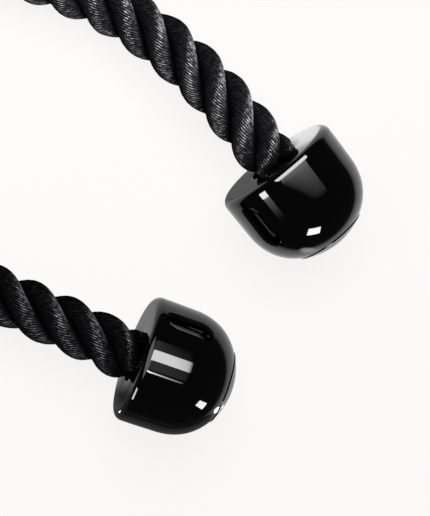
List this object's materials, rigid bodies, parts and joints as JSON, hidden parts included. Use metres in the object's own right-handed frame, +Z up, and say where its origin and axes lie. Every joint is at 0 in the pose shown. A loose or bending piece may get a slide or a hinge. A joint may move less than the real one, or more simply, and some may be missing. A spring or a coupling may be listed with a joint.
{
  "type": "triceps rope attachment",
  "caption": "Cable machine rope: laid black rope folded through a steel link ring, crimped by a collar, with a glossy ball cap on each end.",
  "frame": {"origin": "middle of the collar's flat underside, which rests on the floor", "axes": "+Y along the attachment towards the link ring, +X to the right seen from above with the ring away from the viewer, +Z up"},
  "size_m": [0.1897, 0.525, 0.0648],
  "materials": {
    "rope": "black twisted nylon, three strands, satin yarns",
    "cap_plastic": "moulded, high gloss black",
    "chrome": "polished chrome plate on steel",
    "zinc_steel": "zinc plated, inside the caps"
  },
  "bodies": {
    "yoke": {"collar": "chrome", "rope_bight": "rope", "rope_bend_left": "rope", "rope_bend_right": "rope"},
    "ring": {"link_ring": "chrome"},
    "left_end": {"rope_leg_left": "rope", "cap_body_left": "cap_plastic", "end_plug_left": "cap_plastic", "washer_left": "zinc_steel", "ferrule_left": "zinc_steel", "rope_end_left": "rope"},
    "right_end": {"rope_leg_right": "rope", "cap_body_right": "cap_plastic", "end_plug_right": "cap_plastic", "washer_right": "zinc_steel", "ferrule_right": "zinc_steel", "rope_end_right": "rope"}
  },
  "joints": [
    {"name": "ring_swing", "type": "hinge", "parent": "yoke", "child": "ring", "pos_m": [0, 0.067, 0.0235], "axis": [1, 0, 0], "range_deg": [-110, 110]},
    {"name": "left_leg_swing", "type": "hinge", "parent": "yoke", "child": "left_end", "pos_m": [-0.01563, -0.04484, 0.01495], "axis": [0, 0, -1], "range_deg": [-3, 45], "deforming": ["rope_bend_left"]},
    {"name": "right_leg_swing", "type": "hinge", "parent": "yoke", "child": "right_end", "pos_m": [0.01512, -0.04489, 0.01495], "axis": [0, 0, 1], "range_deg": [-3, 45], "deforming": ["rope_bend_right"]}
  ]
}
